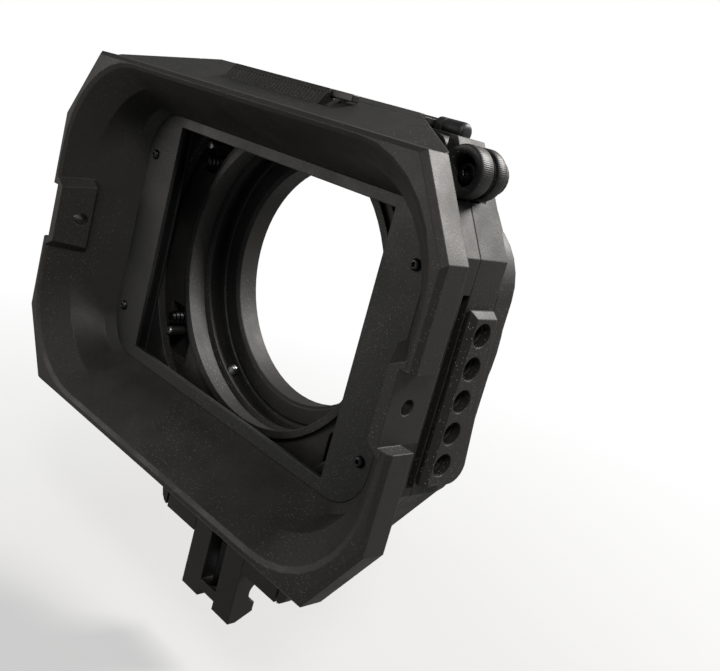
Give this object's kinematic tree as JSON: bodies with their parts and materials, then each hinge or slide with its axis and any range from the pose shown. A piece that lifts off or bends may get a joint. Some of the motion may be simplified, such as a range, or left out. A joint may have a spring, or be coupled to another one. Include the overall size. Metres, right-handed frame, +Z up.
{
  "type": "matte box",
  "caption": "Clip-on camera matte box: octagonal hood with mask, lift-out filter tray, holed side plates, lens clamp ring and a sliding rod support.",
  "frame": {"origin": "lens axis in the clamp ring's rear face", "axes": "+X to the right seen from the front, +Y backwards along the lens axis, +Z up"},
  "size_m": [0.1788, 0.072, 0.1781],
  "materials": {
    "hood_black": "matte black moulded nylon with a fine grain",
    "stage_black": "matte black sintered nylon, slightly sparkling",
    "tray_black": "smooth matte black",
    "anodised_black": "black anodised, satin",
    "screw_black": "black oxide steel",
    "bright_steel": "bare bright steel"
  },
  "bodies": {
    "stage": {"stage_housing": "stage_black", "hood": "hood_black", "hood_mask": "tray_black", "mask_screw_1": "screw_black", "mask_screw_2": "screw_black", "mask_screw_3": "screw_black", "mask_screw_4": "screw_black", "side_plate_right": "stage_black", "side_plate_left": "stage_black", "back_plate": "stage_black", "body_screw_1": "screw_black", "body_screw_2": "screw_black", "body_screw_3": "screw_black", "body_screw_4": "screw_black", "clamp_ring": "stage_black", "ring_screw_1": "screw_black", "ring_screw_2": "screw_black", "ring_screw_3": "screw_black", "ring_screw_4": "screw_black", "dowel_pin_1": "bright_steel", "dowel_pin_2": "bright_steel", "dowel_pin_3": "bright_steel", "dowel_pin_4": "bright_steel", "grub_screw_1": "bright_steel", "grub_screw_2": "bright_steel", "grub_screw_3": "bright_steel", "adapter_ring": "stage_black", "hood_lock_screw": "screw_black", "top_flag_rod": "screw_black", "support_plate": "hood_black", "support_screw_1": "screw_black", "support_screw_2": "screw_black", "guide_rod": "screw_black"},
    "tray": {"tray_frame": "tray_black", "tray_cap": "hood_black", "tray_cap_pin_1": "bright_steel", "tray_cap_pin_2": "bright_steel"},
    "catch": {"tray_catch": "anodised_black"},
    "flag_leaf": {"top_flag_leaf": "anodised_black"},
    "flag_knob": {"top_flag_knob": "anodised_black"},
    "lock_knob": {"hood_lock_knob": "anodised_black"},
    "clamp": {"clamp_knob": "anodised_black"},
    "slide": {"support_slide": "hood_black"},
    "slide_lock": {"slide_lock_knob": "anodised_black"}
  },
  "joints": [
    {"name": "tray_slide", "type": "slide", "parent": "stage", "child": "tray", "axis": [0, 0, 1], "range_m": [0, 0.115]},
    {"name": "tray_catch_slide", "type": "slide", "parent": "tray", "child": "catch", "axis": [1, 0, 0], "range_m": [0, 0.003]},
    {"name": "top_flag_hinge", "type": "hinge", "parent": "stage", "child": "flag_leaf", "pos_m": [0, -0.034, 0.0594], "axis": [-1, 0, 0], "range_deg": [0, 100]},
    {"name": "top_flag_knob_turn", "type": "hinge", "parent": "stage", "child": "flag_knob", "pos_m": [0.05, -0.034, 0.0594], "axis": [1, 0, 0], "continuous": true},
    {"name": "hood_lock_turn", "type": "hinge", "parent": "stage", "child": "lock_knob", "pos_m": [0.0725, -0.05, 0.051], "axis": [0, 1, 0], "continuous": true},
    {"name": "clamp_knob_turn", "type": "hinge", "parent": "stage", "child": "clamp", "pos_m": [-0.067, -0.011, 0.0083], "axis": [0, 0, 1], "continuous": true},
    {"name": "support_slide", "type": "slide", "parent": "stage", "child": "slide", "axis": [0, 0, 1], "range_m": [-0.015, 0]},
    {"name": "slide_lock_turn", "type": "hinge", "parent": "slide", "child": "slide_lock", "pos_m": [0, -0.022, -0.086], "axis": [0, 1, 0], "continuous": true}
  ]
}
